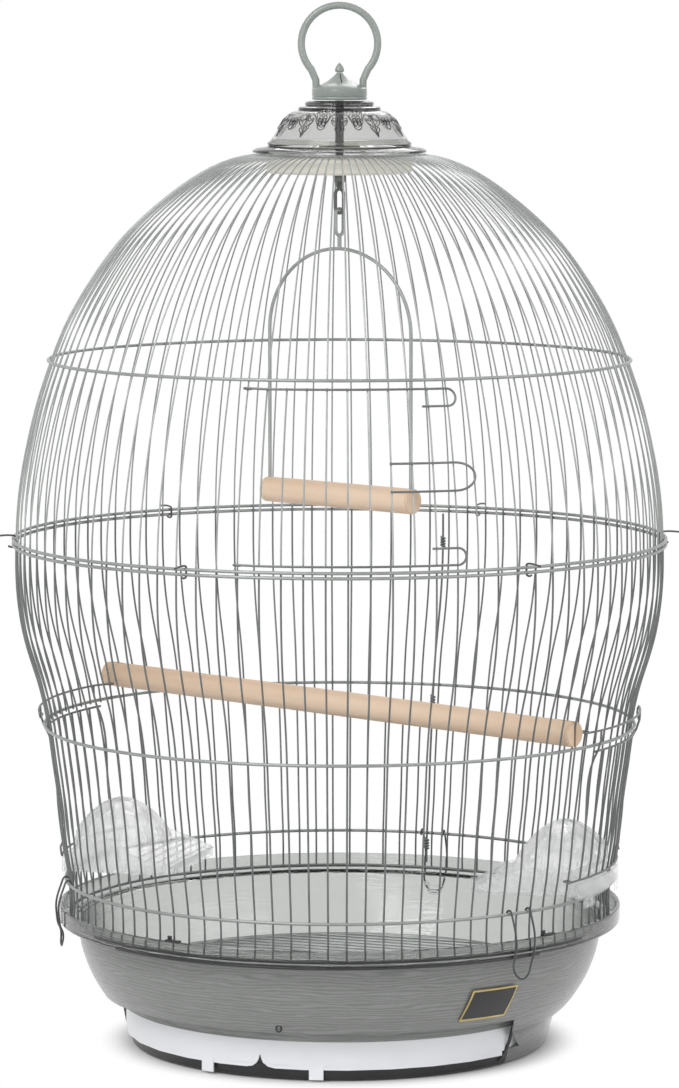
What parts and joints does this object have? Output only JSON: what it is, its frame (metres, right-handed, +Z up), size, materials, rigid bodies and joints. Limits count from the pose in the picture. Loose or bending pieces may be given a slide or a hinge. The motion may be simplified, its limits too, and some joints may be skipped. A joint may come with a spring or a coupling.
{
  "type": "bird cage",
  "caption": "Round domed wire bird cage with a hinged front door, two hooded side feeders, a perch, a hanging swing, a smoky base with a pull-out drawer and a carrying ring.",
  "frame": {"origin": "on the cage's vertical axis, in the plane that the foot stands on", "axes": "+Z up along the cage's axis, -Y through the middle of the front door, +X to the viewer's right"},
  "size_m": [0.4222, 0.4006, 0.6359],
  "materials": {
    "coated_wire": "grey coated steel wire, satin",
    "dark_wire": "dark spring wire, satin",
    "smoky_plastic": "translucent smoky moulding, glossy",
    "clear_plastic": "clear moulding, glossy",
    "white_plastic": "white moulding",
    "cream_plastic": "cream moulding, satin",
    "grey_green_plastic": "opaque grey-green moulding",
    "beech": "plain turned beech"
  },
  "bodies": {
    "cage": {"base_bowl": "smoky_plastic", "belly_clip_1": "dark_wire", "belly_clip_2": "dark_wire", "belly_clip_3": "dark_wire", "belly_clip_4": "dark_wire", "belly_clip_5": "dark_wire", "belly_clip_6": "dark_wire", "belly_hoop_lower": "coated_wire", "belly_hoop_upper": "coated_wire", "cap_dome": "smoky_plastic", "feeder_cup_left": "clear_plastic", "feeder_cup_right": "clear_plastic", "finial": "grey_green_plastic", "floor_grille": "coated_wire", "hanger": "grey_green_plastic", "long_perch": "beech", "lower_hoop": "coated_wire", "lower_wires_back_1": "coated_wire", "lower_wires_back_2": "coated_wire", "lower_wires_back_3": "coated_wire", "lower_wires_back_4": "coated_wire", "lower_wires_front_1": "coated_wire", "lower_wires_front_2": "coated_wire", "lower_wires_front_3": "coated_wire", "lower_wires_front_4": "coated_wire", "perch_hoop": "coated_wire", "seam_rod": "coated_wire", "sill_wires_left": "coated_wire", "sill_wires_right": "coated_wire", "stem_bolt": "dark_wire", "swing_hook": "dark_wire", "top_plate": "cream_plastic", "upper_hoop": "coated_wire", "upper_wires_1": "coated_wire", "upper_wires_2": "coated_wire", "upper_wires_3": "coated_wire", "upper_wires_4": "coated_wire", "upper_wires_5": "coated_wire", "upper_wires_6": "coated_wire", "upper_wires_7": "coated_wire", "upper_wires_8": "coated_wire", "upper_wires_over_door": "coated_wire"},
    "front_door": {"front_door": "coated_wire", "door_handle": "coated_wire"},
    "feeder_door_right": {"feeder_door_right": "coated_wire"},
    "feeder_door_left": {"feeder_door_left": "coated_wire"},
    "drawer": {"drawer": "white_plastic"},
    "swing": {"swing_frame": "coated_wire", "swing_dowel": "beech"},
    "base_clip_1": {"base_clip_1": "dark_wire"},
    "base_clip_2": {"base_clip_2": "dark_wire"},
    "base_clip_3": {"base_clip_3": "dark_wire"}
  },
  "joints": [
    {"name": "front_door_hinge", "type": "hinge", "parent": "cage", "child": "front_door", "pos_m": [-0.05998, -0.17669, 0.3649], "axis": [-0.0628, -0.185, -0.9807], "range_deg": [0, 110]},
    {"name": "feeder_door_right_hinge", "type": "hinge", "parent": "cage", "child": "feeder_door_right", "pos_m": [0.13831, -0.10612, 0.1601], "axis": [-0.1108, 0.0851, -0.9902], "range_deg": [0, 90]},
    {"name": "feeder_door_left_hinge", "type": "hinge", "parent": "cage", "child": "feeder_door_left", "pos_m": [-0.13831, 0.10612, 0.1601], "axis": [0.1108, -0.0851, -0.9902], "range_deg": [0, 90]},
    {"name": "drawer_slide", "type": "slide", "parent": "cage", "child": "drawer", "axis": [-0.3827, -0.9239, 0], "range_m": [0, 0.2]},
    {"name": "swing_pivot", "type": "hinge", "parent": "cage", "child": "swing", "pos_m": [0, 0, 0.5085], "axis": [0.7193, -0.6947, 0], "range_deg": [-30, 30]},
    {"name": "base_clip_1_hinge", "type": "hinge", "parent": "cage", "child": "base_clip_1", "pos_m": [0.1024, -0.13345, 0.1016], "axis": [-0.7934, -0.6088, 0], "range_deg": [0, 75]},
    {"name": "base_clip_2_hinge", "type": "hinge", "parent": "cage", "child": "base_clip_2", "pos_m": [-0.16677, -0.02196, 0.1016], "axis": [-0.1305, 0.9914, 0], "range_deg": [0, 75]},
    {"name": "base_clip_3_hinge", "type": "hinge", "parent": "cage", "child": "base_clip_3", "pos_m": [0.06437, 0.15541, 0.1016], "axis": [0.9239, -0.3827, 0], "range_deg": [0, 75]}
  ]
}
